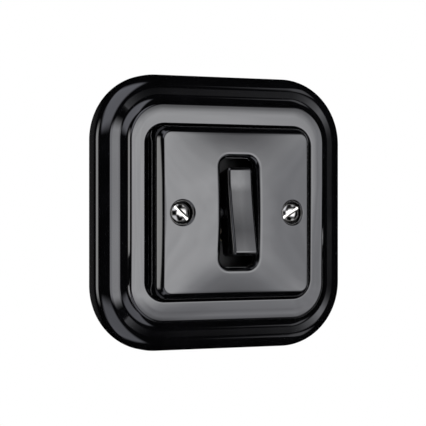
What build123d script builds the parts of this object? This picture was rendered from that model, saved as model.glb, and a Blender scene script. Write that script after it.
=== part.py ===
from build123d import *
import os
from math import cos, radians, sin, tan

# Frame of the part: +Z up the wall, +X to the right, front towards -Y, wall plane at Y = 0.
# Pieces are drawn lying on their back, x right, y up the wall, z out of the wall, and stood up at the end.

# Wall frame
frame_size = 100.0
back_bevel = 0.6
shoulder_height = 5.85
shoulder_r = 4.6
shoulder_run = 2.55
shoulder_deg = 53.0
land_r = 6.4
land_deg = 10.5
cove_r = 4.2
riser_run = 1.45
riser_deg = 61.0
rim_edge_r = 0.8
rim_width = 5.7
rim_slope_run = 2.0
rim_slope_deg = 9.0
rim_crown_r = 9.0
rim_inner_r = 0.9
rebate_depth = 3.5
rebate_corner_r = 7.0
rebate_side_gap = 2.4
rebate_end_gap = 0.45
ledge_width = 2.4
opening_corner_r = 2.6
frame_wall = 4.8
rim_thickness = 6.6
hollow_edge_height = 3.0
hollow_step_run = 4.85
hollow_step = 4.6
hollow_slope = 4.2

# Cover plate
cover_size = 62.0
cover_corner_r = 5.0
cover_edge_height = 19.0
cover_crown = 2.7
cover_edge_r = 1.0
flank_width = 1.9
flank_height = 2.6
flank_r = 2.0
cover_wall = 3.6
cover_roof = 4.2
slot_width = 14.2
slot_length = 39.5
slot_corner_r = 3.4
slot_edge_r = 2.0

# Cover screws and their wells
screw_spacing = 44.4
screw_r = 1.75
screw_hole_gap = 0.25
screw_head_r = 3.8
screw_head_height = 2.6
screw_dome_r = 9.0
screw_head_edge_r = 0.35
screw_slot_width = 1.15
screw_slot_depth = 1.2
screw_slot_angles = (-43.0, 32.0)
screw_tail = 1.5
well_gap = 0.4
well_edge_r = 0.8
well_depth = 3.6
well_boss_wall = 0.9
well_boss_gap = 0.35
washer_thickness = 0.5
washer_gap = 0.15

# Rocker
rocker_width = 9.7
rocker_shift = 0.5
rocker_length = 32.3
rocker_rise = 7.7
rocker_hollow = 0.35
rocker_skirt = 1.5
rocker_wall = 1.4
rocker_roof = 1.9
rocker_end_lean = 0.9
rocker_edge_r = 1.1
rocker_corner_r = 1.3
rocker_tilt = 9.3
rocker_travel = 17.0
pivot_height = 16.5
pin_r = 1.0
press_gap = 0.02
running_gap = 0.05

# Cradle
cradle_gap = 0.1
cradle_bar = 2.4
cradle_bar_length = 26.4
cradle_hub_r = 2.6
foot_reach = 8.0
foot_drop = 4.5
foot_r = 1.4
foot_gap = 0.12

# Base housing
base_width = 36.0
base_length = 44.0
base_corner_r = 3.0
base_front = 4.5
base_rear = -20.0
base_front_wall = 2.5
cheek_gap = 0.35
cheek_thickness = 1.4
cheek_width = 7.0
cheek_head_r = 1.9
base_side_wall = 3.5
base_end_wall = 4.0
chamber_top = 1.0
pocket_width = 10.0
pocket_side_wall = 3.4
pocket_bottom = 5.0
stop_length = 4.2

# Mounting yoke
yoke_size = 71.0
yoke_corner_cut = 9.0
yoke_thickness = 1.2
yoke_gap = 0.2
yoke_edge_r = 1.5
box_screw_spacing = 60.0
box_slot_r = 2.1
box_slot_length = 7.0
collar_height = 2.8
collar_wall = 1.4
thread_gap = 0.05

# Ears and rivets
ear_width = 6.8
ear_reach = 4.4
ear_thickness = 2.2
rivet_x = 7.5
rivet_inset = 2.3
rivet_r = 1.2
rivet_head_r = 2.0
rivet_head = 0.7

# Plunger and contacts
stem_width = 5.6
stem_length = 4.6
slide_gap = 0.2
head_width = 11.0
head_length = 8.0
head_height = 4.0
stop_gap = 0.1
spigot_r = 1.5
spigot_length = 2.8
stem_edge_r = 0.6
bridge_corner_r = 1.2
bridge_overhang = 2.5
bridge_width = 5.0
bridge_thickness = 0.8
bridge_gap = 0.1
tip_inset = 8.0
tip_r = 1.4
tip_height = 0.9
tip_closed_gap = 0.06

# Terminals
strip_thickness = 1.0
strip_width = 6.0
strip_gap = 0.15
terminal_y = 12.0
strip_tail = 7.0
saddle_size = 7.4
saddle_thickness = 1.4
terminal_screw_r = 1.5
terminal_head_r = 3.0
terminal_head_height = 2.0
terminal_screw_reach = 3.0
screw_tip_gap = 0.4
terminal_slot_width = 0.8
terminal_slot_depth = 0.9
strip_overhang = 3.0
strip_end_r = 1.0
wire_groove_r = 0.6
wire_groove_spacing = 5.0

# Rear cover and spring
lid_thickness = 2.0
lid_gap = 0.1
lid_screw_r = 1.1
lid_head_r = 2.0
lid_head_height = 1.2
lid_screw_reach = 7.0
lid_screw_x = 11.0
lid_slot_width = 0.6
lid_slot_depth = 0.6
lid_post_r = 2.2
spring_wire_r = 0.3
spring_wire_sides = 6
spring_coil_r = 2.3
spring_turns = 7
spring_seat_gap = 0.05
spring_boss_height = 2.5
spring_boss_gap = 0.3

# Two places closer than this count as one
touch = 0.01

# Worked out from the sizes above
frame_half = frame_size / 2
cover_half = cover_size / 2
rebate_side = cover_half + rebate_side_gap
rebate_end = cover_half + rebate_end_gap
opening_half = cover_half - ledge_width
corner_run = opening_half - opening_corner_r
land_start = frame_half - shoulder_run
land_height = shoulder_height + shoulder_run * tan(radians(shoulder_deg))
rim_edge = rebate_side + rim_width
land_end = rim_edge + riser_run
riser_foot = land_height + (land_start - land_end) * tan(radians(land_deg))
rim_edge_height = riser_foot + riser_run * tan(radians(riser_deg))
rim_height = rim_edge_height + rim_slope_run * tan(radians(rim_slope_deg))
rebate_floor = rim_height - rebate_depth
cover_roof_under = cover_edge_height + cover_crown - cover_roof
screw_x = screw_spacing / 2
screw_hole_r = screw_r + screw_hole_gap
well_r = screw_head_r + well_gap
crown_at_screw = cover_crown * (1 - (screw_x / cover_half) ** 2)
well_floor = cover_edge_height + crown_at_screw - well_depth
foot_rest = radians(-rocker_tilt)
foot_out = foot_reach * sin(-foot_rest) - foot_drop * cos(foot_rest)
stem_top = pivot_height + foot_out - foot_r - foot_gap
stop_top = pivot_height + foot_out - 2 * foot_reach * sin(-foot_rest) - foot_r - foot_gap
slider_stroke = foot_reach * radians(rocker_travel)
base_roof = base_front - base_front_wall
chamber_half = base_width / 2 - base_side_wall
chamber_bottom = base_end_wall - base_length / 2
pocket_outer = base_width / 2 - pocket_side_wall
pocket_inner = pocket_outer - pocket_width
tip_x = base_width / 2 - tip_inset
bridge_length = 2 * (tip_x + bridge_overhang)
head_top = base_roof - stop_gap
head_under = head_top - head_height
bridge_under = head_under - bridge_thickness
strip_top = bridge_under - 2 * tip_height - slider_stroke - tip_closed_gap
strip_under = strip_top - strip_thickness
strip_end = terminal_y + strip_tail
saddle_under = strip_under - saddle_thickness
lid_under = base_rear - lid_thickness
pin_length = rocker_width + 2 * (cheek_gap + cheek_thickness)


def box(x0, x1, y0, y1, z0, z1):
    return Pos((x0 + x1) / 2, (y0 + y1) / 2, (z0 + z1) / 2) * Box(x1 - x0, y1 - y0, z1 - z0)


def rod(radius, z0, z1, x=0.0, y=0.0):
    return Pos(x, y, (z0 + z1) / 2) * Cylinder(radius, z1 - z0)


def rounded_block(width, length, corner, z0, z1):
    return Pos(0, 0, z0) * extrude(RectangleRounded(width, length, corner), z1 - z0)


def across(radius, length, y, z):
    return Pos(0, y, z) * Rot(0, 90, 0) * Cylinder(radius, length)


def edges_at(body, height):
    return body.edges().filter_by_position(Axis.Z, height - touch, height + touch)


# Ring with a constant section round a rounded square: four straight sides and four turned corners.
def rounded_ring(section, run):
    standing = Plane.XZ * section
    side = extrude(standing, run, both=True)
    corner = revolve(Pos(0, run, 0) * standing, Axis((run, run, 0), (0, 0, 1)), 90)
    ring = Part()
    for turn in range(4):
        ring += Rot(0, 0, 90 * turn) * (side + corner)
    return ring


# The frame is one moulded ring, with the seat for the cover sunk into its rim.
def wall_frame():
    hollow_half = frame_half - frame_wall
    step_start = hollow_half - hollow_step_run
    ceiling = rim_height - rim_thickness
    half_land = (land_start - land_end) / cos(radians(land_deg)) / 2
    land_room = half_land / tan(radians(shoulder_deg - land_deg) / 2)
    cove_room = half_land / tan(radians(riser_deg - land_deg) / 2)
    corners = [
        (frame_half, back_bevel, 0),
        (frame_half, shoulder_height, shoulder_r),
        (land_start, land_height, min(land_r, land_room)),
        (land_end, riser_foot, min(cove_r, cove_room)),
        (rim_edge, rim_edge_height, rim_edge_r),
        (rim_edge - rim_slope_run, rim_height, rim_crown_r),
        (opening_half, rim_height, 0),
        (opening_half, ceiling, 0),
        (step_start - hollow_slope, ceiling, 0),
        (step_start, hollow_step, 0),
        (hollow_half, hollow_edge_height, 0),
        (hollow_half, 0, 0),
        (frame_half - back_bevel, 0, 0),
    ]
    outline = FilletPolyline(
        [(x, y) for x, y, r in corners],
        radius=[r for x, y, r in corners],
        close=True,
    )
    ring = rounded_ring(make_face(outline), corner_run)
    ring -= rounded_block(2 * rebate_side, 2 * rebate_end, rebate_corner_r, rebate_floor, rim_height)
    seat_edges = edges_at(ring, rim_height)
    seat_edges = seat_edges.filter_by_position(Axis.X, -rebate_side - touch, rebate_side + touch)
    seat_edges = seat_edges.filter_by_position(Axis.Y, -rebate_end - touch, rebate_end + touch)
    return fillet(seat_edges, rim_inner_r)


# Crown of the cover: one quadratic patch, level along all four edges and highest in the middle.
def crown_patch():
    reach = cover_half + cover_edge_r
    ends = 1 - (reach / cover_half) ** 2
    weights = (ends, 2 - ends, ends)
    places = (-reach, 0.0, reach)
    points = [
        [(x, y, cover_edge_height + cover_crown * wx * wy) for y, wy in zip(places, weights)]
        for x, wx in zip(places, weights)
    ]
    return Face.make_bezier_surface(points)


# Slopes the upper part of the cover's side wall inwards all round.
def cut_flank(body):
    base = cover_edge_height - flank_height
    rise = flank_height + cover_crown / 2
    slope = rise * flank_width / flank_height
    outline = Polyline(
        (cover_half, base),
        (cover_half + flank_width, base),
        (cover_half + flank_width, base + rise),
        (cover_half - slope, base + rise),
        close=True,
    )
    body -= rounded_ring(make_face(outline), cover_half - cover_corner_r)
    return fillet(edges_at(body, base), flank_r)


def cover_plate():
    top = cover_edge_height + 2 * cover_crown
    body = rounded_block(cover_size, cover_size, cover_corner_r, rebate_floor, top)
    body -= extrude(crown_patch(), 2 * top, dir=(0, 0, 1))
    body = cut_flank(body)
    inside = cover_size - 2 * cover_wall
    hollow = rounded_block(inside, inside, cover_corner_r / 2, rebate_floor, cover_roof_under)
    for side in (-1, 1):
        hollow -= rod(well_r + well_boss_wall, rebate_floor + well_boss_gap, cover_roof_under, side * screw_x)
    body -= hollow
    body -= rounded_block(slot_width, slot_length, slot_corner_r, rebate_floor, top)
    for side in (-1, 1):
        body -= rod(well_r, well_floor, top, side * screw_x)
        body -= rod(screw_hole_r, rebate_floor, top, side * screw_x)
    crown = body.faces().sort_by(Axis.Z)[-1]
    slot_edges = []
    well_edges = []
    for wire in crown.inner_wires():
        if abs(wire.center().X) < screw_x / 2:
            slot_edges += wire.edges()
        else:
            well_edges += wire.edges()
    outer_edges = crown.outer_wire().edges()
    body = fillet(well_edges, well_edge_r)
    body = fillet(find_edges(body, slot_edges), slot_edge_r)
    return fillet(find_edges(body, outer_edges), cover_edge_r)


# The edges of a body that lie where the given edges were.
def find_edges(body, wanted):
    found = []
    for edge in wanted:
        middle = edge.position_at(0.5)
        found.append(min(body.edges(), key=lambda e: (e.position_at(0.5) - middle).length))
    return found


def cover_screws():
    bearing = well_floor + washer_thickness
    group = Part()
    for side, angle in zip((-1, 1), screw_slot_angles):
        head_top = bearing + screw_head_height
        dome = Pos(0, 0, head_top - screw_dome_r) * Sphere(screw_dome_r)
        head = rod(screw_head_r, bearing, head_top) & dome
        head = fillet(head.edges().filter_by(Plane.XY).sort_by(Axis.Z)[-1], screw_head_edge_r)
        slot_floor = head_top - screw_slot_depth
        slot = Pos(0, 0, slot_floor) * extrude(
            Rectangle(2 * screw_head_r + 1, screw_slot_width), screw_slot_depth + 1
        )
        screw = head - Rot(0, 0, angle) * slot + rod(screw_r, -screw_tail, bearing)
        group += Pos(side * screw_x, 0, 0) * screw
    return group


def screw_washers():
    group = Part()
    for side in (-1, 1):
        ring = rod(well_r - washer_gap, well_floor, well_floor + washer_thickness, side * screw_x)
        ring -= rod(screw_r + washer_gap, well_floor, well_floor + washer_thickness, side * screw_x)
        group += ring
    return group


# Turns a rocker piece, drawn level about the pivot at the origin, to its place at rest.
def rocker_place(piece):
    return Pos(0, 0, pivot_height) * Rot(-rocker_tilt, 0, 0) * piece


def rocker_button():
    half = rocker_length / 2
    low = half - rocker_end_lean
    outline = Polyline((half, rocker_rise), (low, -rocker_skirt), (-low, -rocker_skirt), (-half, rocker_rise))
    face = ThreePointArc((-half, rocker_rise), (0, rocker_rise - rocker_hollow), (half, rocker_rise))
    body = extrude(Plane.YZ * make_face(outline.edges() + face.edges()), rocker_width / 2, both=True)
    ends = [edge for edge in body.edges() if abs(edge.center().X) > rocker_width / 4]
    ends = [edge for edge in ends if abs(edge.center().Y) > half / 2]
    body = fillet(ends, rocker_corner_r)
    top_edges = body.faces().sort_by(Axis.Z)[-1].edges()
    body = fillet(top_edges, rocker_edge_r)
    inside = low - rocker_wall
    inside_top = rocker_rise - rocker_hollow - rocker_roof
    width = rocker_width / 2 - rocker_wall
    body -= box(-width, width, -inside, inside, -rocker_skirt, inside_top)
    body = Pos(0, -rocker_shift, 0) * body
    return rocker_place(body - across(pin_r + running_gap, rocker_width, 0, 0))


def rocker_cradle():
    width = rocker_width / 2 - rocker_wall - cradle_gap
    top = rocker_rise - rocker_hollow - rocker_roof
    half = cradle_bar_length / 2
    body = box(-width, width, -half, half, top - cradle_bar, top)
    body += box(-width, width, -cradle_hub_r, cradle_hub_r, 0, top - cradle_bar)
    body += across(cradle_hub_r, 2 * width, 0, 0)
    for side in (-1, 1):
        reach = side * foot_reach
        body += box(-width, width, reach - foot_r, reach + foot_r, -foot_drop, top - cradle_bar)
        body += across(foot_r, 2 * width, reach, -foot_drop)
    return rocker_place(body - across(pin_r + running_gap, 2 * width, 0, 0))


def pivot_pin():
    return across(pin_r, pin_length, 0, pivot_height)


# One bearing cheek, narrowing from its root on the housing to a round eye for the pin.
def bearing_cheek():
    outline = Polyline(
        (-cheek_width / 2, base_roof),
        (cheek_width / 2, base_roof),
        (cheek_head_r, pivot_height),
        (-cheek_head_r, pivot_height),
        close=True,
    )
    shape = make_face(outline) + Pos(0, pivot_height) * Circle(cheek_head_r)
    return Pos(rocker_width / 2 + cheek_gap, 0, 0) * extrude(Plane.YZ * shape, cheek_thickness)


def lid_screw_places():
    lower = (chamber_bottom - base_length / 2) / 2
    upper = (chamber_top + pocket_bottom) / 2
    return ((-lid_screw_x, lower), (lid_screw_x, lower), (0.0, upper))


def rivet_places():
    reach = base_length / 2 + rivet_inset
    return [(x, y) for x in (-rivet_x, rivet_x) for y in (-reach, reach)]


# Room for one terminal, on the right: a pocket open to the top and rear, with a channel for the strip.
def terminal_room():
    half_length = base_length / 2
    strip_side = strip_width / 2 + strip_gap
    room = box(pocket_inner, pocket_outer, pocket_bottom, half_length, base_rear, strip_under)
    room += box(tip_x - strip_side, tip_x + strip_side, chamber_top, pocket_bottom, base_rear, strip_top)
    channel_end = strip_end + strip_gap
    room += box(tip_x - strip_side, tip_x + strip_side, pocket_bottom, channel_end, strip_under, strip_top)
    hole_end = strip_top + terminal_screw_reach + screw_tip_gap
    return room + rod(terminal_screw_r + strip_gap, strip_top, hole_end, tip_x, terminal_y)


def base_housing():
    half_length = base_length / 2
    body = rounded_block(base_width, base_length, base_corner_r, base_rear, base_front)
    body -= box(-chamber_half, chamber_half, chamber_bottom, chamber_top, base_rear, base_roof)
    right_room = terminal_room()
    body -= right_room
    body -= mirror(right_room, Plane.YZ)
    right_cheek = bearing_cheek()
    body += right_cheek
    body += mirror(right_cheek, Plane.YZ)
    body -= across(pin_r + press_gap, pin_length, 0, pivot_height)
    ear_half = half_length + ear_reach
    ear_top = yoke_thickness + ear_thickness
    for x in (-rivet_x, rivet_x):
        body += box(x - ear_width / 2, x + ear_width / 2, half_length, ear_half, yoke_thickness, ear_top)
        body += box(x - ear_width / 2, x + ear_width / 2, -ear_half, -half_length, yoke_thickness, ear_top)
    for x, y in rivet_places():
        body -= rod(rivet_r + press_gap, yoke_thickness, ear_top, x, y)
    hole_w = stem_width / 2 + slide_gap
    hole_l = stem_length / 2 + slide_gap
    body -= box(-hole_w, hole_w, -foot_reach - hole_l, -foot_reach + hole_l, base_roof, base_front)
    stop_half = rocker_width / 2 - rocker_wall - cradle_gap
    stop_start = foot_reach - stop_length / 2 - foot_r / 2
    body += box(-stop_half, stop_half, stop_start, stop_start + stop_length, base_roof, stop_top)
    for x, y in lid_screw_places():
        body -= rod(lid_screw_r + press_gap, base_rear, base_rear + lid_screw_reach + screw_tip_gap, x, y)
    return body


def mounting_yoke():
    outline = chamfer(Rectangle(yoke_size, yoke_size).vertices(), yoke_corner_cut)
    outline = fillet(outline.vertices(), yoke_edge_r)
    opening = RectangleRounded(base_width + 2 * yoke_gap, base_length + 2 * yoke_gap, base_corner_r)
    plate = extrude(outline - opening, yoke_thickness)
    slot = extrude(SlotOverall(box_slot_length, 2 * box_slot_r), yoke_thickness)
    for turn in range(4):
        plate -= Rot(0, 0, 90 * turn) * Pos(box_screw_spacing / 2, 0, 0) * slot
    thread_r = screw_r + thread_gap
    for x in (-screw_x, screw_x):
        plate += rod(thread_r + collar_wall, 0, yoke_thickness + collar_height, x)
        plate -= rod(thread_r, 0, yoke_thickness + collar_height, x)
    for x, y in rivet_places():
        plate -= rod(rivet_r + press_gap, 0, yoke_thickness, x, y)
    return plate


def base_rivets():
    ear_top = yoke_thickness + ear_thickness
    front_head = rod(rivet_head_r, ear_top, ear_top + rivet_head)
    rear_head = rod(rivet_head_r, -rivet_head, 0)
    rivet = rod(rivet_r, 0, ear_top)
    rivet += chamfer(front_head.edges().sort_by(Axis.Z)[-1], rivet_head / 2)
    rivet += chamfer(rear_head.edges().sort_by(Axis.Z)[0], rivet_head / 2)
    group = Part()
    for x, y in rivet_places():
        group += Pos(x, y, 0) * rivet
    return group


def contact_slider():
    stem = Pos(0, 0, head_top) * extrude(Rectangle(stem_width, stem_length), stem_top - head_top)
    stem = fillet(stem.edges().group_by(Axis.Z)[-1], stem_edge_r)
    body = stem + Pos(0, 0, head_under) * extrude(Rectangle(head_width, head_length), head_height)
    body += rod(spigot_r, head_under - spigot_length, head_under)
    return Pos(0, -foot_reach, 0) * body


def contact_bridge():
    strip = RectangleRounded(bridge_length, bridge_width, bridge_corner_r) - Circle(spigot_r + bridge_gap)
    return Pos(0, -foot_reach, bridge_under) * extrude(strip, bridge_thickness)


def bridge_contact_tips():
    group = Part()
    for x in (-tip_x, tip_x):
        group += rod(tip_r, bridge_under - tip_height, bridge_under, x, -foot_reach)
    return group


def fixed_contact_tips():
    group = Part()
    for x in (-tip_x, tip_x):
        group += rod(tip_r, strip_top, strip_top + tip_height, x, -foot_reach)
    return group


def terminal_strip(side):
    start = -foot_reach - strip_overhang
    outline = Pos(0, (start + strip_end) / 2) * RectangleRounded(strip_width, strip_end - start, strip_end_r)
    outline -= Pos(0, terminal_y) * Circle(terminal_screw_r + thread_gap)
    return Pos(side * tip_x, 0, strip_under) * extrude(outline, strip_thickness)


def terminal_strip_left():
    return terminal_strip(-1)


def terminal_strip_right():
    return terminal_strip(1)


# Square clamp plates with two wire grooves on the side that bears on the strip.
def clamp_saddles():
    outline = RectangleRounded(saddle_size, saddle_size, strip_end_r) - Circle(terminal_screw_r + washer_gap)
    plate = Pos(0, 0, saddle_under) * extrude(outline, saddle_thickness)
    for x in (-wire_groove_spacing / 2, wire_groove_spacing / 2):
        plate -= Pos(x, 0, strip_under) * Rot(90, 0, 0) * Cylinder(wire_groove_r, saddle_size)
    return Part() + [Pos(x, terminal_y, 0) * plate for x in (-tip_x, tip_x)]


# Slotted cheese-head screw pointing out of the wall, its head resting on the plane z = 0 from behind.
def rear_screw(shank_r, shank_length, head_r, head_height, slot_width, slot_depth):
    head = rod(head_r, -head_height, 0)
    head = chamfer(head.edges().sort_by(Axis.Z)[0], slot_depth / 2)
    head -= Pos(0, 0, -head_height) * extrude(Rectangle(2 * head_r, slot_width), slot_depth)
    return head + rod(shank_r, 0, shank_length)


def terminal_screws():
    length = strip_top + terminal_screw_reach - saddle_under
    screw = rear_screw(
        terminal_screw_r,
        length,
        terminal_head_r,
        terminal_head_height,
        terminal_slot_width,
        terminal_slot_depth,
    )
    return Part() + [Pos(x, terminal_y, saddle_under) * screw for x in (-tip_x, tip_x)]


def rear_cover():
    whole = rounded_block(base_width, base_length, base_corner_r, lid_under, base_rear)
    body = whole & box(-base_width, base_width, -base_length, pocket_bottom, lid_under, base_rear)
    spring_inside = spring_coil_r - spring_wire_r
    body += rod(spring_inside - spring_boss_gap, base_rear, base_rear + spring_boss_height, 0, -foot_reach)
    for x in (-tip_x, tip_x):
        body += rod(lid_post_r, base_rear, strip_under, x, -foot_reach)
    for x, y in lid_screw_places():
        body -= rod(lid_screw_r + lid_gap, lid_under, base_rear, x, y)
    return body


def rear_cover_screws():
    length = lid_thickness + lid_screw_reach
    screw = rear_screw(lid_screw_r, length, lid_head_r, lid_head_height, lid_slot_width, lid_slot_depth)
    return Part() + [Pos(x, y, lid_under) * screw for x, y in lid_screw_places()]


def return_spring():
    start = base_rear + spring_wire_r + spring_seat_gap
    height = bridge_under - spring_wire_r - spring_seat_gap - start
    coil = Pos(0, -foot_reach, start) * Helix(height / spring_turns, height, spring_coil_r)
    wire = Plane(coil @ 0, z_dir=coil % 0) * RegularPolygon(spring_wire_r, spring_wire_sides)
    return sweep(wire, coil, is_frenet=True)


os.makedirs("parts", exist_ok=True)
for piece in (
    wall_frame,
    cover_plate,
    cover_screws,
    screw_washers,
    rocker_button,
    rocker_cradle,
    pivot_pin,
    mounting_yoke,
    base_housing,
    base_rivets,
    contact_slider,
    contact_bridge,
    bridge_contact_tips,
    return_spring,
    terminal_strip_left,
    terminal_strip_right,
    fixed_contact_tips,
    clamp_saddles,
    terminal_screws,
    rear_cover,
    rear_cover_screws,
):
    export_step(Rot(90, 0, 0) * piece(), f"parts/{piece.__name__}.step")
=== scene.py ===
from math import asin, ceil, cos, pi, radians, sin, tan

import bmesh
import bpy
from mathutils import Matrix, Vector


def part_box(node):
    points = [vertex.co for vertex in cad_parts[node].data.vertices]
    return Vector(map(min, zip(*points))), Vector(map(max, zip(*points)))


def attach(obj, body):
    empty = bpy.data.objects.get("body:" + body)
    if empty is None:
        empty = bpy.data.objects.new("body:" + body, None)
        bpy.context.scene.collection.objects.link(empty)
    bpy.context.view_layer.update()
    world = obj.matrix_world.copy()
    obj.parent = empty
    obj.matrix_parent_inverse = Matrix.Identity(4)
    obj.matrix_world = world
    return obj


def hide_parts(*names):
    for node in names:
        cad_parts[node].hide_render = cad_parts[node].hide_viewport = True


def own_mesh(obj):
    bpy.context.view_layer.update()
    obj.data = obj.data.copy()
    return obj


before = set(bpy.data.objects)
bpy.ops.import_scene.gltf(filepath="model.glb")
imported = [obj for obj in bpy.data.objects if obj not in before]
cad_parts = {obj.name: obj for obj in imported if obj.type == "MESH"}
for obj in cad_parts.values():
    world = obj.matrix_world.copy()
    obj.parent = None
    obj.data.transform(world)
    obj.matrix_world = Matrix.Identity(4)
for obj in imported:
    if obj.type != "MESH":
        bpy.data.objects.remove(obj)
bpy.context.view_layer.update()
scene = bpy.context.scene

# All sizes below are in millimetres, out of the wall counted as height.
MM = 0.001
WELD = 1e-6

# How finely the rounds are divided, and the angle above which an edge shows
ARC_STEP_DEG = 6
ARC_LEAST_STEPS = 6
FRAME_CORNER_STEPS = 32
FRAME_SIDE_STEPS = 16
COVER_CORNER_STEPS = 12
WELL_STEPS = 64
SCREW_STEPS = 72
ROCKER_EDGE_STEPS = 5
SPRING_STEPS = 32
SPRING_SIDES = 10
SHARP_DEG = 32

# Sections and outlines are lists of corners: (reach, height, rounding radius).
FRAME_CORNER_R = 24.0
FRAME_SECTION = (
    (50.0, 0.6, 0.3),
    (50.0, 5.85, 4.6),
    (47.45, 9.23, 6.9),
    (40.55, 10.51, 4.5),
    (39.1, 13.06, 1.0),
    (36.5, 13.47, 24.0),
    (33.4, 13.39, 0.8),
    (33.4, 9.95, 1.2),
    (28.6, 9.95, 0.4),
    (28.6, 6.85, 0.4),
    (36.15, 6.85, 1.2),
    (40.35, 4.6, 1.2),
    (45.2, 3.0, 1.2),
    (45.2, 0.0, 0.3),
    (49.4, 0.0, 0.3),
)

# The cover's seat is narrower up and down than across.
SEAT_REACH = (30.9, 34.4)
SEAT_LEVEL = 9.9
SEAT_SQUEEZE = 31.6 / 33.4

# Firing has let the rim sag a little outwards, most along the bottom and the lower right.
RIM_LEVEL = 12.6
RIM_INSIDE = 31.4
RIM_MIDDLE = 36.0
RIM_FLAT = 5.1
RIM_SAG_INNER_DEG = 8.0
RIM_SAG_OUTER_DEG = 4.6
RIM_SAG_RIGHT = 0.3
RIM_SAG_DOWN = 1.1

COVER_CORNER_R = 5.0
COVER_EDGE_R = 1.0
COVER_FLANK_R = 4.5
COVER_FLANK_WIDTH = 1.9
COVER_FLANK_HEIGHT = 2.6
COVER_EDGE_HEIGHT = 19.0
COVER_CROWN = 2.7
COVER_FOOT = 9.95
COVER_ROOF = 17.5
COVER_WALL = 3.6
COVER_HIDDEN_R = 0.3
ROOF_MARGIN = 0.05
FLAT_MARGIN = 0.3
SLICE_STEP = 1.5

SLOT_HALF_WIDTH = 7.1
SLOT_HALF_LENGTH = 19.75
SLOT_CORNER_R = 3.4
SLOT_EDGE_R = 2.0

SCREW_X = 22.2
WELL_R = 4.2
WELL_EDGE_R = 0.8
WELL_FLOOR = 16.715
WELL_HOLE_R = 2.0
BOSS_R = 5.1
BOSS_FOOT = 10.3

SCREW_HEAD_R = 3.8
SCREW_HEAD_HEIGHT = 2.6
SCREW_DOME_R = 6.2
DOME_ARC_SHARE = 0.96
SCREW_HEAD_EDGE_R = 1.2
SCREW_UNDER_R = 0.1
SCREW_SHANK_R = 1.75
SCREW_END_R = 0.3
SCREW_SLOT_WIDTH = 1.15
SCREW_SLOT_DEPTH = 1.2
SCREW_SLOT_ANGLES = (-43.0, 32.0)
WASHER_THICKNESS = 0.5

PIVOT_HEIGHT = 16.5
ROCKER_TILT = 9.3
ROCKER_SHIFT = 0.5
ROCKER_HALF_WIDTH = 4.85
ROCKER_HALF_LENGTH = 16.15
ROCKER_RISE = 7.7
ROCKER_FACE = (
    (8.5, 7.18, 45.0),
    (-1.5, 7.05, 200.0),
)
ROCKER_UPPER_RISE = 7.85
ROCKER_SKIRT = 1.5
SKIRT_MARGIN = 0.01
ROCKER_END_LEAN = 0.9
ROCKER_EDGE_R = 1.1
ROCKER_END_R = 1.3
ROCKER_WALL = 1.4
ROCKER_CEILING = 5.45
FACES_ALONG = 0.9

SPRING_WIRE_R = 0.3
SPRING_COIL_R = 2.3
SPRING_TURNS = 7

# Copies of the solids: faces merged below one angle, edges softened above another
FLAT_DEG = 0.5
SOFT_EDGE_DEG = 40
SOFT_EDGE_STEPS = 2

cover_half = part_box("cover_plate")[1].x / MM
frame_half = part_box("wall_frame")[1].x / MM
corner_run = frame_half - FRAME_CORNER_R


def crown(x, z):
    return COVER_CROWN * (1 - (x / cover_half) ** 2) * (1 - (z / cover_half) ** 2)


# Meshes

def verts_of(geom):
    return [item for item in geom if isinstance(item, bmesh.types.BMVert)]


def edges_of(geom):
    return [item for item in geom if isinstance(item, bmesh.types.BMEdge)]


# Draws corners as a line with true arcs, reach along +X and height along -Y.
def trace(bm, corners, closed=False):
    points = [Vector((reach, -height, 0)) * MM for reach, height, _ in corners]
    first = last = None
    for index, point in enumerate(points):
        radius = corners[index][2] * MM
        if radius:
            before = (point - points[index - 1]).normalized()
            after = (points[(index + 1) % len(points)] - point).normalized()
            turn = before.angle(after)
            side = 1 if before.cross(after).z > 0 else -1
            start = bm.verts.new(point - before * radius * tan(turn / 2))
            centre = start.co + Vector((-before.y, before.x, 0)) * radius * side
            steps = max(ARC_LEAST_STEPS, ceil(turn / radians(ARC_STEP_DEG)))
            arc = bmesh.ops.spin(
                bm, geom=[start], cent=centre, axis=(0, 0, side), angle=turn, steps=steps
            )
            finish = verts_of(arc["geom_last"])[0]
        else:
            start = finish = bm.verts.new(point)
        if last is None:
            first = start
        else:
            bm.edges.new((last, start))
        last = finish
    if closed:
        bm.edges.new((last, first))


# Carries a section round a rounded rectangle: along each side, then turned about each corner centre.
def sweep_round(bm, corners, run_x, run_z, steps, closed=False, side_steps=1):
    section = bmesh.new()
    trace(section, corners, closed)
    bmesh.ops.translate(section, verts=section.verts, vec=Vector((run_x, 0, -run_z)) * MM)
    edges = append(bm, section)
    sides = ((0, 2 * run_z), (-2 * run_x, 0), (0, -2 * run_z), (2 * run_x, 0))
    centres = ((run_x, run_z), (-run_x, run_z), (-run_x, -run_z), (run_x, -run_z))
    for (side_x, side_z), (centre_x, centre_z) in zip(sides, centres):
        for _ in range(side_steps):
            grown = bmesh.ops.extrude_edge_only(bm, edges=edges)["geom"]
            ends = verts_of(grown)
            bmesh.ops.translate(bm, verts=ends, vec=Vector((side_x, 0, side_z)) * MM / side_steps)
            kept = set(ends)
            edges = [edge for edge in edges_of(grown) if kept.issuperset(edge.verts)]
        turned = bmesh.ops.spin(
            bm,
            geom=ends + edges,
            cent=Vector((centre_x, 0, centre_z)) * MM,
            axis=(0, -1, 0),
            angle=pi / 2,
            steps=steps,
        )
        edges = edges_of(turned["geom_last"])


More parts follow.
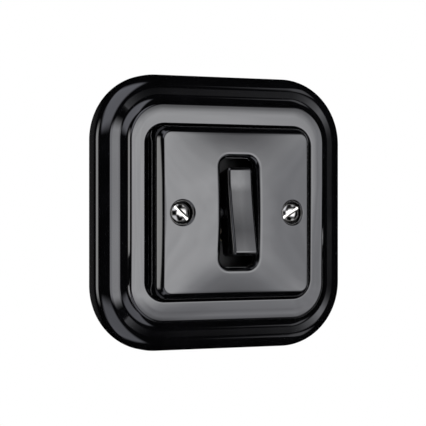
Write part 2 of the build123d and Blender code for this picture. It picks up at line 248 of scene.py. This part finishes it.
# Turns a section a full round about an axis that points out of the wall.
def sweep_circle(bm, corners, x, z, steps):
    section = bmesh.new()
    trace(section, corners)
    bmesh.ops.translate(section, verts=section.verts, vec=Vector((x, 0, z)) * MM)
    edges = append(bm, section)
    ends = list({vert for edge in edges for vert in edge.verts})
    bmesh.ops.spin(
        bm,
        geom=ends + edges,
        cent=Vector((x, 0, z)) * MM,
        axis=(0, -1, 0),
        angle=2 * pi,
        steps=steps,
        use_merge=True,
    )


# Adds one mesh to another and returns the edges that came in.
def append(bm, other):
    before = set(bm.edges)
    mesh = bpy.data.meshes.new("section")
    other.to_mesh(mesh)
    other.free()
    bm.from_mesh(mesh)
    bpy.data.meshes.remove(mesh)
    return [edge for edge in bm.edges if edge not in before]


def place_mesh(name, bm, finish):
    mesh = bpy.data.meshes.new(name)
    bm.to_mesh(mesh)
    bm.free()
    mesh.materials.append(finish)
    thing = bpy.data.objects.new(name, mesh)
    scene.collection.objects.link(thing)
    return thing


def place_piece(name, bm, body, finish, nodes):
    piece = place_mesh(name, bm, finish)
    piece.data.shade_smooth()
    piece.data.set_sharp_from_angle(angle=radians(SHARP_DEG))
    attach(piece, body)
    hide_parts(*nodes)
    return piece


def make_piece(name, bm, body, finish, nodes):
    bmesh.ops.remove_doubles(bm, verts=bm.verts, dist=WELD)
    bmesh.ops.recalc_face_normals(bm, faces=bm.faces)
    return place_piece(name, bm, body, finish, nodes)


# How far out a point of the ring lies, measured as on a straight side.
def seat_reach(point):
    over_x = max(abs(point.x) - corner_run * MM, 0)
    over_z = max(abs(point.z) - corner_run * MM, 0)
    return corner_run * MM + Vector((over_x, over_z)).length


def glazed_frame(finish):
    bm = bmesh.new()
    corners = [(reach - corner_run, height, radius) for reach, height, radius in FRAME_SECTION]
    sweep_round(bm, corners, corner_run, corner_run, FRAME_CORNER_STEPS, True, FRAME_SIDE_STEPS)
    nearest, furthest = SEAT_REACH
    inner_fall = tan(radians(RIM_SAG_INNER_DEG))
    outer_fall = tan(radians(RIM_SAG_OUTER_DEG))
    seat = [
        vert for vert in bm.verts
        if -vert.co.y > SEAT_LEVEL * MM and nearest * MM < seat_reach(vert.co) < furthest * MM
    ]
    bmesh.ops.scale(bm, verts=seat, vec=(1, 1, SEAT_SQUEEZE))
    for vert in bm.verts:
        out = seat_reach(vert.co) - RIM_INSIDE * MM
        if -vert.co.y > RIM_LEVEL * MM and out > 0:
            share = (RIM_SAG_RIGHT * vert.co.x - RIM_SAG_DOWN * vert.co.z) / (RIM_MIDDLE * MM)
            flat = min(out / MM, RIM_FLAT)
            eased = (inner_fall - outer_fall) * flat**2 / (2 * RIM_FLAT)
            vert.co.y += (inner_fall * flat - eased) * MM * min(max(share, 0), 1)
    return make_piece("glazed_frame", bm, "switch_body", finish, ["wall_frame"])


def fill_level(bm, height):
    level = -height * MM
    rim = [
        edge for edge in bm.edges
        if edge.is_boundary and all(abs(vert.co.y - level) < WELD for vert in edge.verts)
    ]
    bmesh.ops.triangle_fill(bm, edges=rim, use_beauty=True, normal=(0, -1, 0))


def crowned_cover(finish):
    bm = bmesh.new()
    top = COVER_EDGE_HEIGHT
    outer = COVER_CORNER_R
    edge = (
        (outer - COVER_FLANK_WIDTH - COVER_EDGE_R - FLAT_MARGIN, top, 0),
        (outer - COVER_FLANK_WIDTH, top, COVER_EDGE_R),
        (outer, top - COVER_FLANK_HEIGHT, COVER_FLANK_R),
        (outer, COVER_FOOT, COVER_HIDDEN_R),
        (outer - COVER_WALL, COVER_FOOT, COVER_HIDDEN_R),
        (outer - COVER_WALL, COVER_ROOF, 0),
    )
    sweep_round(bm, edge, cover_half - outer, cover_half - outer, COVER_CORNER_STEPS)
    slot = (
        (SLOT_CORNER_R + SLOT_EDGE_R + FLAT_MARGIN, top, 0),
        (SLOT_CORNER_R, top, SLOT_EDGE_R),
        (SLOT_CORNER_R, COVER_ROOF, 0),
    )
    slot_run_x = SLOT_HALF_WIDTH - SLOT_CORNER_R
    slot_run_z = SLOT_HALF_LENGTH - SLOT_CORNER_R
    sweep_round(bm, slot, slot_run_x, slot_run_z, COVER_CORNER_STEPS)
    well = (
        (WELL_R + WELL_EDGE_R + FLAT_MARGIN, top, 0),
        (WELL_R, top, WELL_EDGE_R),
        (WELL_R, WELL_FLOOR, COVER_HIDDEN_R),
        (WELL_HOLE_R, WELL_FLOOR, 0),
        (WELL_HOLE_R, BOSS_FOOT, 0),
        (BOSS_R, BOSS_FOOT, COVER_HIDDEN_R),
        (BOSS_R, COVER_ROOF, 0),
    )
    for x in (-SCREW_X, SCREW_X):
        sweep_circle(bm, well, x, 0, WELL_STEPS)
    bmesh.ops.remove_doubles(bm, verts=bm.verts, dist=WELD)
    fill_level(bm, top)
    fill_level(bm, COVER_ROOF)
    count = int(cover_half // SLICE_STEP)
    for index in range(-count, count + 1):
        place = (index + 0.5) * SLICE_STEP * MM
        for axis in (Vector((1, 0, 0)), Vector((0, 0, 1))):
            geom = bm.verts[:] + bm.edges[:] + bm.faces[:]
            bmesh.ops.bisect_plane(bm, geom=geom, dist=WELD, plane_co=axis * place, plane_no=axis)
    for vert in bm.verts:
        if -vert.co.y > (COVER_ROOF + ROOF_MARGIN) * MM:
            vert.co.y -= crown(vert.co.x / MM, vert.co.z / MM) * MM
    return make_piece("crowned_cover", bm, "switch_body", finish, ["cover_plate"])


def rocker(finish):
    bm = bmesh.new()
    low = ROCKER_HALF_LENGTH - ROCKER_END_LEAN
    outline = (
        (low, -ROCKER_SKIRT, 0),
        (ROCKER_HALF_LENGTH, ROCKER_UPPER_RISE, ROCKER_END_R),
        *ROCKER_FACE,
        (-ROCKER_HALF_LENGTH, ROCKER_RISE, ROCKER_END_R),
        (-low, -ROCKER_SKIRT, 0),
    )
    trace(bm, outline, closed=True)
    side = bmesh.ops.contextual_create(bm, geom=bm.edges[:])["faces"]
    grown = bmesh.ops.extrude_face_region(bm, geom=side)["geom"]
    bmesh.ops.translate(bm, verts=verts_of(grown), vec=(0, 0, 2 * ROCKER_HALF_WIDTH * MM))
    bmesh.ops.translate(bm, verts=bm.verts, vec=(0, 0, -ROCKER_HALF_WIDTH * MM))
    bmesh.ops.recalc_face_normals(bm, faces=bm.faces)
    skirt_level = (ROCKER_SKIRT - SKIRT_MARGIN) * MM
    rims = [
        edge for edge in bm.edges
        if any(abs(face.normal.z) > FACES_ALONG for face in edge.link_faces)
        and any(vert.co.y < skirt_level for vert in edge.verts)
    ]
    bmesh.ops.bevel(
        bm,
        geom=rims,
        offset=ROCKER_EDGE_R * MM,
        offset_type="OFFSET",
        segments=ROCKER_EDGE_STEPS,
        profile=0.5,
        affect="EDGES",
        clamp_overlap=True,
        material=-1,
    )
    bottom = [face for face in bm.faces if face.normal.y > FACES_ALONG]
    bmesh.ops.inset_region(bm, faces=bottom, thickness=ROCKER_WALL * MM, use_even_offset=True)
    hollow = bmesh.ops.extrude_face_region(bm, geom=bottom)["geom"]
    bmesh.ops.translate(
        bm, verts=verts_of(hollow), vec=(0, -(ROCKER_SKIRT + ROCKER_CEILING) * MM, 0)
    )
    stand = Matrix.Translation((0, -PIVOT_HEIGHT * MM, 0))
    stand @= Matrix.Rotation(radians(-ROCKER_TILT), 4, "X")
    stand @= Matrix.Translation((0, 0, -ROCKER_SHIFT * MM))
    stand @= Matrix.Rotation(-pi / 2, 4, "Y")
    bmesh.ops.transform(bm, matrix=stand, verts=bm.verts)
    return make_piece("rocker_key", bm, "rocker", finish, ["rocker_button"])


# Slotted screw along +Z with a domed head, bearing at z = 0.
def slotted_screw(head_r, head_height, dome_r, edge_r, slot_width, slot_depth, shank_r, shank_length):
    bm = bmesh.new()
    edge_tilt = asin(head_r / dome_r)
    side_top = head_height - dome_r * (1 - cos(edge_tilt))
    profile = (
        (0, head_height, 0),
        (dome_r * tan(edge_tilt / 2), head_height, dome_r * DOME_ARC_SHARE),
        (head_r, side_top, edge_r),
        (head_r, 0, SCREW_UNDER_R),
        (shank_r, 0, 0),
        (shank_r, -shank_length, SCREW_END_R),
        (0, -shank_length, 0),
    )
    sweep_circle(bm, profile, 0, 0, SCREW_STEPS)
    bmesh.ops.remove_doubles(bm, verts=bm.verts, dist=WELD)
    bmesh.ops.rotate(bm, verts=bm.verts, cent=(0, 0, 0), matrix=Matrix.Rotation(-pi / 2, 3, "X"))
    half = slot_width / 2 * MM
    floor = (head_height - slot_depth) * MM
    cuts = (((0, half, 0), (0, 1, 0)), ((0, -half, 0), (0, 1, 0)), ((0, 0, floor), (0, 0, 1)))
    for place, normal in cuts:
        geom = bm.verts[:] + bm.edges[:] + bm.faces[:]
        bmesh.ops.bisect_plane(bm, geom=geom, dist=WELD, plane_co=place, plane_no=normal)
    inside = [
        face for face in bm.faces
        if abs(face.calc_center_median().y) < half and face.calc_center_median().z > floor
    ]
    bmesh.ops.delete(bm, geom=inside, context="FACES")
    lips = [
        edge for edge in bm.edges
        if edge.is_boundary and abs(edge.verts[0].co.y - edge.verts[1].co.y) < WELD
    ]
    walls = bmesh.ops.extrude_edge_only(bm, edges=lips)["geom"]
    for vert in verts_of(walls):
        vert.co.z = floor
    bmesh.ops.remove_doubles(bm, verts=bm.verts, dist=WELD)
    bmesh.ops.dissolve_degenerate(bm, dist=WELD, edges=bm.edges[:])
    rim = [edge for edge in bm.edges if edge.is_boundary]
    bmesh.ops.contextual_create(bm, geom=rim)
    return bm


def add_screws(name, bm, places, finish, nodes):
    group = bmesh.new()
    for place in places:
        copy = bm.copy()
        bmesh.ops.transform(copy, matrix=place, verts=copy.verts)
        append(group, copy)
    bm.free()
    return make_piece(name, group, "switch_body", finish, nodes)


# Stands a piece drawn along +Z out of the wall at a place on the plate.
def out_of_wall(x, z, height, turn=0.0):
    place = Matrix.Translation(Vector((x, -height, z)) * MM)
    return place @ Matrix.Rotation(pi / 2, 4, "X") @ Matrix.Rotation(radians(turn), 4, "Z")


def cover_screws(finish):
    bearing = WELL_FLOOR + WASHER_THICKNESS
    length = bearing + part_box("cover_screws")[1].y / MM
    bm = slotted_screw(
        SCREW_HEAD_R,
        SCREW_HEAD_HEIGHT,
        SCREW_DOME_R,
        SCREW_HEAD_EDGE_R,
        SCREW_SLOT_WIDTH,
        SCREW_SLOT_DEPTH,
        SCREW_SHANK_R,
        length,
    )
    places = [
        out_of_wall(x, 0, bearing, turn) for x, turn in zip((-SCREW_X, SCREW_X), SCREW_SLOT_ANGLES)
    ]
    return add_screws("plated_screws", bm, places, finish, ["cover_screws"])


# Helix drawn by turning and lifting the wire's section.
def return_spring(finish):
    low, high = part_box("return_spring")
    centre_z = (low.z + high.z) / 2
    steps = SPRING_STEPS * SPRING_TURNS
    start = low.y + SPRING_WIRE_R * MM
    rise = high.y - low.y - 2 * SPRING_WIRE_R * MM
    bm = bmesh.new()
    bmesh.ops.create_circle(bm, segments=SPRING_SIDES, radius=SPRING_WIRE_R * MM)
    bmesh.ops.translate(bm, verts=bm.verts, vec=(SPRING_COIL_R * MM, start, centre_z))
    first = bm.edges[:]
    wound = bmesh.ops.spin(
        bm,
        geom=bm.verts[:] + first,
        cent=(0, 0, centre_z),
        axis=(0, 1, 0),
        dvec=(0, rise / steps, 0),
        angle=2 * pi * SPRING_TURNS,
        steps=steps,
    )
    bmesh.ops.contextual_create(bm, geom=first)
    bmesh.ops.contextual_create(bm, geom=edges_of(wound["geom_last"]))
    piece = make_piece("coil_spring", bm, "switch_body", finish, ["return_spring"])
    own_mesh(piece)
    return piece


# A rigid piece whose solid already has the right shape: merged, with smooth rounds and softened edges.
def dressed_copy(node, body, finish, edge_r):
    bm = bmesh.new()
    bm.from_mesh(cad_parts[node].data)
    bmesh.ops.remove_doubles(bm, verts=bm.verts, dist=WELD)
    bmesh.ops.dissolve_limit(bm, angle_limit=radians(FLAT_DEG), verts=bm.verts[:], edges=bm.edges[:])
    piece = place_piece(node + "_finished", bm, body, finish, [node])
    if edge_r:
        bevel = piece.modifiers.new("soft_edges", "BEVEL")
        bevel.width = edge_r * MM
        bevel.segments = SOFT_EDGE_STEPS
        bevel.limit_method = "ANGLE"
        bevel.angle_limit = radians(SOFT_EDGE_DEG)
        bevel.harden_normals = True
    return piece


# Node groups shared by the finishes
NOISE_LOW = 0.3
NOISE_HIGH = 0.7
CLOUD_DETAIL = 5.0
BROAD_DETAIL = 1.0
FINE_DETAIL = 4.0


def new_group(name, inputs, outputs):
    group = bpy.data.node_groups.new(name, "ShaderNodeTree")
    for socket, kind, value in inputs:
        item = group.interface.new_socket(socket, in_out="INPUT", socket_type=kind)
        item.default_value = value
    for socket, kind in outputs:
        group.interface.new_socket(socket, in_out="OUTPUT", socket_type=kind)
    return group, group.nodes.new("NodeGroupInput"), group.nodes.new("NodeGroupOutput")


# Noise spread to its full range, with its lowest and highest result.
def spread_noise(nodes, links, noise, lowest=0.0, highest=1.0):
    spread = nodes.new("ShaderNodeMapRange")
    spread.inputs["From Min"].default_value = NOISE_LOW
    spread.inputs["From Max"].default_value = NOISE_HIGH
    spread.inputs["To Min"].default_value = lowest
    spread.inputs["To Max"].default_value = highest
    links.new(noise.outputs["Fac"], spread.inputs["Value"])
    return spread.outputs["Result"]


def multiply(nodes, links, first, second):
    both = nodes.new("ShaderNodeMath")
    both.operation = "MULTIPLY"
    links.new(first, both.inputs[0])
    links.new(second, both.inputs[1])
    return both.outputs["Value"]


# Slow colour drift and cloudy gloss, as on any fired, moulded or rolled surface.
def cloud_group():
    group, take, give = new_group(
        "cloudy_surface",
        (
            ("Dark", "NodeSocketColor", (0, 0, 0, 1)),
            ("Light", "NodeSocketColor", (1, 1, 1, 1)),
            ("Scale", "NodeSocketFloat", 60.0),
            ("Smoothest", "NodeSocketFloat", 0.05),
            ("Roughest", "NodeSocketFloat", 0.1),
        ),
        (("Color", "NodeSocketColor"), ("Roughness", "NodeSocketFloat")),
    )
    nodes, links = group.nodes, group.links
    place = nodes.new("ShaderNodeTexCoord")
    cloud = nodes.new("ShaderNodeTexNoise")
    cloud.inputs["Detail"].default_value = CLOUD_DETAIL
    links.new(place.outputs["Object"], cloud.inputs["Vector"])
    links.new(take.outputs["Scale"], cloud.inputs["Scale"])
    spread = spread_noise(nodes, links, cloud)
    mix = nodes.new("ShaderNodeMix")
    mix.data_type = "RGBA"
    links.new(spread, mix.inputs["Factor"])
    links.new(take.outputs["Dark"], mix.inputs["A"])
    links.new(take.outputs["Light"], mix.inputs["B"])
    links.new(mix.outputs["Result"], give.inputs["Color"])
    rough = nodes.new("ShaderNodeMapRange")
    links.new(spread, rough.inputs["Value"])
    links.new(take.outputs["Smoothest"], rough.inputs["To Min"])
    links.new(take.outputs["Roughest"], rough.inputs["To Max"])
    links.new(rough.outputs["Result"], give.inputs["Roughness"])
    return group


# Two sizes of unevenness added up, the broad one for waviness and the fine one for grain.
def relief_group():
    group, take, give = new_group(
        "uneven_surface",
        (
            ("Broad Scale", "NodeSocketFloat", 60.0),
            ("Fine Scale", "NodeSocketFloat", 900.0),
            ("Fine Share", "NodeSocketFloat", 0.1),
            ("Stretch", "NodeSocketVector", (1, 1, 1)),
        ),
        (("Height", "NodeSocketFloat"),),
    )
    nodes, links = group.nodes, group.links
    place = nodes.new("ShaderNodeTexCoord")
    stretch = nodes.new("ShaderNodeVectorMath")
    stretch.operation = "MULTIPLY"
    links.new(place.outputs["Object"], stretch.inputs[0])
    links.new(take.outputs["Stretch"], stretch.inputs[1])
    heights = []
    for name, detail in (("Broad Scale", BROAD_DETAIL), ("Fine Scale", FINE_DETAIL)):
        noise = nodes.new("ShaderNodeTexNoise")
        noise.inputs["Detail"].default_value = detail
        links.new(stretch.outputs["Vector"], noise.inputs["Vector"])
        links.new(take.outputs[name], noise.inputs["Scale"])
        heights.append(noise.outputs["Fac"])
    add = nodes.new("ShaderNodeMath")
    add.operation = "MULTIPLY_ADD"
    links.new(heights[1], add.inputs[0])
    links.new(take.outputs["Fine Share"], add.inputs[1])
    links.new(heights[0], add.inputs[2])
    links.new(add.outputs["Value"], give.inputs["Height"])
    return group


CLOUD = cloud_group()
RELIEF = relief_group()


# A finish: cloudy colour and gloss, relief as bump, and plain values on the shader's own sockets.
def make_finish(name, dark, light, cloud_scale, rough, relief, depth, **values):
    finish = bpy.data.materials.new(name)
    finish.use_nodes = True
    nodes, links = finish.node_tree.nodes, finish.node_tree.links
    shader = nodes["Principled BSDF"]
    cloud = nodes.new("ShaderNodeGroup")
    cloud.node_tree = CLOUD
    cloud.inputs["Dark"].default_value = (*dark, 1)
    cloud.inputs["Light"].default_value = (*light, 1)
    cloud.inputs["Scale"].default_value = cloud_scale
    cloud.inputs["Smoothest"].default_value = rough[0]
    cloud.inputs["Roughest"].default_value = rough[1]
    links.new(cloud.outputs["Color"], shader.inputs["Base Color"])
    links.new(cloud.outputs["Roughness"], shader.inputs["Roughness"])
    uneven = nodes.new("ShaderNodeGroup")
    uneven.node_tree = RELIEF
    uneven.inputs["Broad Scale"].default_value = relief[0]
    uneven.inputs["Fine Scale"].default_value = relief[1]
    uneven.inputs["Fine Share"].default_value = relief[2]
    uneven.inputs["Stretch"].default_value = relief[3]
    bump = nodes.new("ShaderNodeBump")
    bump.inputs["Strength"].default_value = 1.0
    bump.inputs["Distance"].default_value = depth * MM
    links.new(uneven.outputs["Height"], bump.inputs["Height"])
    links.new(bump.outputs["Normal"], shader.inputs["Normal"])
    for socket, value in values.items():
        shader.inputs[socket.replace("_", " ")].default_value = value
    return finish


EVEN = (1, 1, 1)
UPRIGHT_BRUSH = (1, 1, 0.06)

black_glaze = make_finish(
    "black_glaze",
    (0.0012, 0.0012, 0.0014),
    (0.0026, 0.0026, 0.003),
    90.0,
    (0.03, 0.06),
    (70.0, 1400.0, 0.02, EVEN),
    0.05,
    IOR=1.6,
    Coat_Weight=1.0,
    Coat_Roughness=0.03,
)
rocker_gloss = make_finish(
    "rocker_gloss",
    (0.0015, 0.0015, 0.0017),
    (0.003, 0.003, 0.0033),
    120.0,
    (0.05, 0.09),
    (110.0, 2200.0, 0.05, EVEN),
    0.02,
    IOR=1.6,
    Coat_Weight=1.0,
    Coat_Roughness=0.06,
)
nickel_plate = make_finish(
    "nickel_plate",
    (0.60, 0.585, 0.55),
    (0.74, 0.725, 0.69),
    700.0,
    (0.08, 0.16),
    (900.0, 5200.0, 0.4, EVEN),
    0.008,
    Metallic=1.0,
)
zinc_plate = make_finish(
    "zinc_plate",
    (0.50, 0.51, 0.52),
    (0.66, 0.665, 0.66),
    260.0,
    (0.26, 0.4),
    (500.0, 3800.0, 0.5, UPRIGHT_BRUSH),
    0.02,
    Metallic=1.0,
)
# Painted shade: these colours are darker than the phenolic's own black, so the works seen through the
# slot look shaded. Every phenolic piece gets them: washers, cradle, housing and rear cover.
phenolic_black_painted_shade = make_finish(
    "phenolic_black_painted_shade",
    (0.005, 0.005, 0.0055),
    (0.011, 0.0105, 0.0105),
    420.0,
    (0.34, 0.5),
    (600.0, 4200.0, 0.6, EVEN),
    0.03,
    IOR=1.55,
)
ivory_moulding = make_finish(
    "ivory_moulding",
    (0.52, 0.47, 0.37),
    (0.62, 0.57, 0.47),
    300.0,
    (0.36, 0.48),
    (500.0, 3600.0, 0.5, EVEN),
    0.02,
)
rolled_brass = make_finish(
    "rolled_brass",
    (0.60, 0.42, 0.17),
    (0.76, 0.55, 0.25),
    320.0,
    (0.22, 0.36),
    (600.0, 4200.0, 0.4, UPRIGHT_BRUSH),
    0.015,
    Metallic=1.0,
)
contact_silver = make_finish(
    "contact_silver",
    (0.66, 0.66, 0.64),
    (0.82, 0.82, 0.8),
    500.0,
    (0.2, 0.3),
    (800.0, 4800.0, 0.4, EVEN),
    0.01,
    Metallic=1.0,
)
spring_wire = make_finish(
    "spring_wire",
    (0.36, 0.36, 0.37),
    (0.5, 0.5, 0.51),
    600.0,
    (0.22, 0.34),
    (900.0, 5200.0, 0.3, EVEN),
    0.01,
    Metallic=1.0,
)

works = bpy.data.collections.new("works")
glazed_frame(black_glaze)
crowned_cover(black_glaze)
rocker(rocker_gloss)
cover_screws(nickel_plate)
return_spring(spring_wire)
for node, body, slot, finish, edge_r in (
    ("screw_washers", "switch_body", "base_black", phenolic_black_painted_shade, 0),
    ("rocker_cradle", "rocker", "base_black", phenolic_black_painted_shade, 0.2),
    ("pivot_pin", "switch_body", "zinc_steel", zinc_plate, 0.1),
    ("mounting_yoke", "switch_body", "zinc_steel", zinc_plate, 0.12),
    ("base_housing", "switch_body", "base_black", phenolic_black_painted_shade, 0.2),
    ("base_rivets", "switch_body", "zinc_steel", zinc_plate, 0.08),
    ("contact_slider", "slider", "slider_ivory", ivory_moulding, 0.2),
    ("contact_bridge", "slider", "contact_brass", rolled_brass, 0.08),
    ("bridge_contact_tips", "slider", "contact_silver", contact_silver, 0.1),
    ("terminal_strip_left", "switch_body", "contact_brass", rolled_brass, 0.08),
    ("terminal_strip_right", "switch_body", "contact_brass", rolled_brass, 0.08),
    ("fixed_contact_tips", "switch_body", "contact_silver", contact_silver, 0.1),
    ("clamp_saddles", "switch_body", "zinc_steel", zinc_plate, 0.1),
    ("terminal_screws", "switch_body", "zinc_steel", zinc_plate, 0.08),
    ("rear_cover", "switch_body", "base_black", phenolic_black_painted_shade, 0.2),
    ("rear_cover_screws", "switch_body", "zinc_steel", zinc_plate, 0.08),
):
    works.objects.link(dressed_copy(node, body, finish, edge_r))


# Studio, in metres and degrees
BOX_DISTANCE = 1.0
DIFFUSER_SCALE = 14.0
COOL = (0.97, 0.98, 1.04)
BLUE = (0.94, 0.96, 1.07)
REAR_LAMP_SIZE = 0.6
REAR_LAMP_DISTANCE = 0.7
REAR_LAMP_WATTS = 1.3
REAR_LAMP_LIFT = 12
WALL_RADIUS = 2.0
WALL_TINT = (0.9, 0.95, 1.0)
WALL_GLOW = 0.001
FLOOR_RADIUS = 1.0
FLOOR_DROP = 0.3
FLOOR_GREY = 0.86
FLOOR_ROUGHNESS = 0.7
ROOM_LIGHT = 0.45
CAMERA_YAW = 26.142
CAMERA_DISTANCE = 0.61915
CAMERA_NEAR = 0.01
LENS = 140.98
SENSOR = 36.0
PICTURE_SIDE = 426
PICTURE_SHIFT = (-0.77, -0.34)


def stage_object(name, bm, finish):
    thing = place_mesh(name, bm, finish)
    return thing


def emission(name):
    finish = bpy.data.materials.new(name)
    finish.use_nodes = True
    nodes = finish.node_tree.nodes
    nodes.remove(nodes["Principled BSDF"])
    light = nodes.new("ShaderNodeEmission")
    finish.node_tree.links.new(light.outputs["Emission"], nodes["Material Output"].inputs["Surface"])
    return finish, light


# A place that faces the object, so many degrees to the left and above the plate's normal.
def aimed(azimuth, elevation, distance):
    turn, lift = radians(azimuth), radians(elevation)
    towards = Vector((-sin(turn) * cos(lift), -cos(turn) * cos(lift), sin(lift)))
    facing = towards.to_track_quat("Z", "Y").to_matrix().to_4x4()
    return Matrix.Translation(towards * distance) @ facing


# Soft box seen only by the object: where it begins and ends to the right, left, low and high of the
# plate's normal, in degrees, and how much of the way in from each of those edges it fades.
def soft_box(name, right, left, low, high, strength, fades, tint=(1, 1, 1), patchy=0.0):
    finish, light = emission(name)
    nodes, links = finish.node_tree.nodes, finish.node_tree.links
    place = nodes.new("ShaderNodeTexCoord")
    split = nodes.new("ShaderNodeSeparateXYZ")
    links.new(place.outputs["Object"], split.inputs["Vector"])
    half_x = tan(radians(left - right) / 2) * BOX_DISTANCE
    half_y = tan(radians(high - low) / 2) * BOX_DISTANCE
    level = None
    for axis, edge, fade in zip("XXYY", (half_x, -half_x, -half_y, half_y), fades):
        ramp = nodes.new("ShaderNodeMapRange")
        ramp.interpolation_type = "SMOOTHSTEP"
        ramp.inputs["From Min"].default_value = edge
        ramp.inputs["From Max"].default_value = edge * (1 - fade)
        ramp.inputs["To Max"].default_value = strength if level is None else 1.0
        links.new(split.outputs[axis], ramp.inputs["Value"])
        if level is None:
            level = ramp.outputs["Result"]
        else:
            level = multiply(nodes, links, level, ramp.outputs["Result"])
    if patchy:
        cloth = nodes.new("ShaderNodeTexNoise")
        cloth.inputs["Scale"].default_value = DIFFUSER_SCALE
        cloth.inputs["Detail"].default_value = BROAD_DETAIL
        links.new(place.outputs["Object"], cloth.inputs["Vector"])
        level = multiply(nodes, links, level, spread_noise(nodes, links, cloth, 1 - patchy, 1 + patchy))
    links.new(level, light.inputs["Strength"])
    light.inputs["Color"].default_value = (*tint, 1)
    # The glow adds to that of the panels behind it.
    clear = nodes.new("ShaderNodeBsdfTransparent")
    added = nodes.new("ShaderNodeAddShader")
    links.new(light.outputs["Emission"], added.inputs[0])
    links.new(clear.outputs["BSDF"], added.inputs[1])
    links.new(added.outputs["Shader"], nodes["Material Output"].inputs["Surface"])
    bm = bmesh.new()
    bmesh.ops.create_grid(bm, x_segments=1, y_segments=1, size=1)
    bmesh.ops.scale(bm, verts=bm.verts, vec=(half_x, half_y, 1))
    panel = stage_object(name, bm, finish)
    panel.matrix_world = aimed((left + right) / 2, (high + low) / 2, BOX_DISTANCE)
    panel.visible_camera = False
    panel.visible_shadow = False
    return panel


soft_box("fill_box", -55.5, -3.5, -28.5, 30, 1.6, (0.25, 0.02, 0.57, 0.85), COOL, 0.07)
soft_box("key_box", -40, -2, -17, 23, 1.45, (0.85, 0.14, 0.44, 0.8), patchy=0.12)
soft_box("left_box", -3.5, 16, -16, 16, 1.6, (0.02, 0.3, 0.5, 0.5), COOL, 0.06)
soft_box("ridge_strip", -1.5, 5.5, -16, 16, 0.6, (0.1, 0.9, 0.5, 0.5))
soft_box("edge_strip", 85, 110, -30, 30, 2.1, (0.35, 0.4, 0.8, 0.8))
soft_box("top_left_box", 12, 76, 8, 84, 1.02, (0.4, 0.4, 0.5, 0.4), BLUE)
soft_box("low_left_box", 12, 74, -84, -12, 0.78, (0.4, 0.4, 0.4, 0.5), BLUE)
soft_box("rear_left_glow", 129, 179, -30, 30, 0.035, (0.6, 0.6, 0.6, 0.6))
soft_box("right_patch_up", -68, -36, 30, 46, 0.5, (0.6, 0.6, 0.5, 0.5), COOL)
soft_box("right_patch_low", -68, -36, -46, -30, 0.5, (0.6, 0.6, 0.5, 0.5), COOL)

# Lamps behind the plate that light the works in the wall box alone
for side, azimuth in (("left", 125), ("middle", 180), ("right", 235)):
    lamp_data = bpy.data.lights.new("rear_lamp_" + side, "AREA")
    lamp_data.energy = REAR_LAMP_WATTS
    lamp_data.size = REAR_LAMP_SIZE
    lamp = bpy.data.objects.new("rear_lamp_" + side, lamp_data)
    scene.collection.objects.link(lamp)
    lamp.matrix_world = aimed(azimuth, REAR_LAMP_LIFT, REAR_LAMP_DISTANCE)
    lamp.visible_camera = False
    lamp.light_linking.receiver_collection = works

# Dark studio walls, seen in the gloss alone
flag_finish, flag_light = emission("dark_wall")
flag_light.inputs["Color"].default_value = (*WALL_TINT, 1)
flag_light.inputs["Strength"].default_value = WALL_GLOW
bm = bmesh.new()
bmesh.ops.create_uvsphere(bm, u_segments=32, v_segments=16, radius=WALL_RADIUS)
flags = stage_object("dark_walls", bm, flag_finish)
flags.visible_camera = False
flags.visible_diffuse = False
flags.visible_transmission = False
flags.visible_shadow = False

# Pale floor below the view, and a white room for the camera
floor_finish = bpy.data.materials.new("pale_floor")
floor_finish.use_nodes = True
floor_shader = floor_finish.node_tree.nodes["Principled BSDF"]
floor_shader.inputs["Base Color"].default_value = (FLOOR_GREY, FLOOR_GREY, FLOOR_GREY, 1)
floor_shader.inputs["Roughness"].default_value = FLOOR_ROUGHNESS
bm = bmesh.new()
bmesh.ops.create_circle(bm, cap_ends=True, segments=96, radius=FLOOR_RADIUS)
bmesh.ops.translate(bm, verts=bm.verts, vec=(0, 0, -FLOOR_DROP))
floor = stage_object("floor", bm, floor_finish)
floor.visible_glossy = False

world = bpy.data.worlds.new("white_room")
scene.world = world
world.use_nodes = True
nodes, links = world.node_tree.nodes, world.node_tree.links
ray = nodes.new("ShaderNodeLightPath")
seen = ray.outputs["Is Camera Ray"]
for kind in ("Is Glossy Ray", "Is Transmission Ray"):
    either = nodes.new("ShaderNodeMath")
    either.operation = "MAXIMUM"
    links.new(seen, either.inputs[0])
    links.new(ray.outputs[kind], either.inputs[1])
    seen = either.outputs["Value"]
level = nodes.new("ShaderNodeMapRange")
level.inputs["To Min"].default_value = ROOM_LIGHT
level.inputs["To Max"].default_value = 1.0
links.new(seen, level.inputs["Value"])
nodes["Background"].inputs["Color"].default_value = (1, 1, 1, 1)
links.new(level.outputs["Result"], nodes["Background"].inputs["Strength"])

# Camera where the photograph was taken, level with the middle of the plate
camera_data = bpy.data.cameras.new("camera")
camera_data.lens = LENS
camera_data.sensor_width = SENSOR
camera_data.shift_x = PICTURE_SHIFT[0] / PICTURE_SIDE
camera_data.shift_y = PICTURE_SHIFT[1] / PICTURE_SIDE
camera_data.clip_start = CAMERA_NEAR
camera = bpy.data.objects.new("camera", camera_data)
scene.collection.objects.link(camera)
yaw = radians(CAMERA_YAW)
camera.location = (-sin(yaw) * CAMERA_DISTANCE, -cos(yaw) * CAMERA_DISTANCE, 0)
camera.rotation_euler = (pi / 2, 0, -yaw)
scene.camera = camera
scene.view_settings.view_transform = "Standard"
